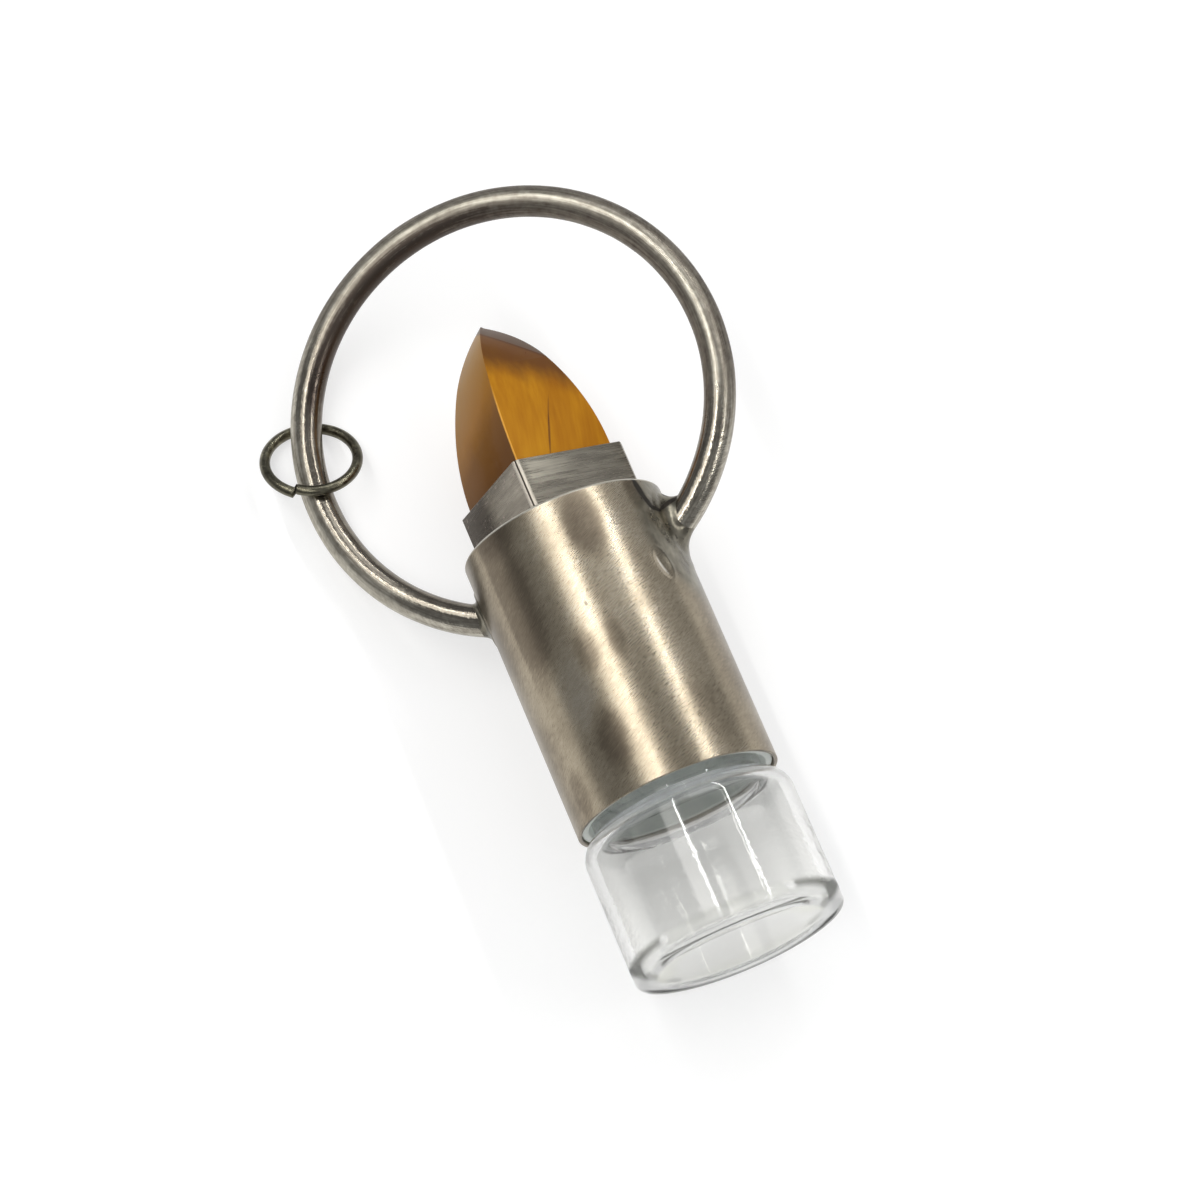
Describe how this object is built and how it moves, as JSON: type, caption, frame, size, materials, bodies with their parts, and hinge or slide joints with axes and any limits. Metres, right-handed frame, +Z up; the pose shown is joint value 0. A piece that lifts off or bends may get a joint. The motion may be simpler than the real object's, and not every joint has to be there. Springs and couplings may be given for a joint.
{
  "type": "bottle pendant",
  "caption": "Small glass vial that screws into a brushed metal cap with a square-set pointed stone, a large wire hoop soldered to its sides and a jump ring on the hoop.",
  "frame": {"origin": "on the table, under the middle of the lying pendant's outline", "axes": "+Z up from the table, +Y from the vial's base towards the stone and hoop, +X towards the raised side of the hoop"},
  "size_m": [0.0464, 0.0834, 0.0219],
  "materials": {
    "antique_silver": "brushed, darkened with age",
    "golden_stone": "polished opaque fibrous stone",
    "grey_plastic": "satin",
    "blue_grey_plastic": "satin",
    "clear_glass": "clear, glossy",
    "antique_bronze": "dark, satin"
  },
  "bodies": {
    "cap": {"cap_frame": "antique_silver", "stone": "golden_stone", "inner_cap": "grey_plastic", "jump_ring": "antique_bronze"},
    "seal": {"seal_disc": "blue_grey_plastic"},
    "vial": {"vial": "clear_glass"}
  },
  "joints": [
    {"name": "vial_turn", "type": "hinge", "parent": "cap", "child": "seal", "pos_m": [0.00144, -0.01725, 0.01075], "axis": [0, -0.9999, 0.0126], "range_deg": [0, 720]},
    {"name": "vial_advance", "type": "slide", "parent": "seal", "child": "vial", "axis": [0, -0.9999, 0.0126], "range_m": [0, 0.006]}
  ],
  "couplings": [
    {"joint": "vial_advance", "follows": "vial_turn", "m_per_rad": 0.00047746}
  ]
}
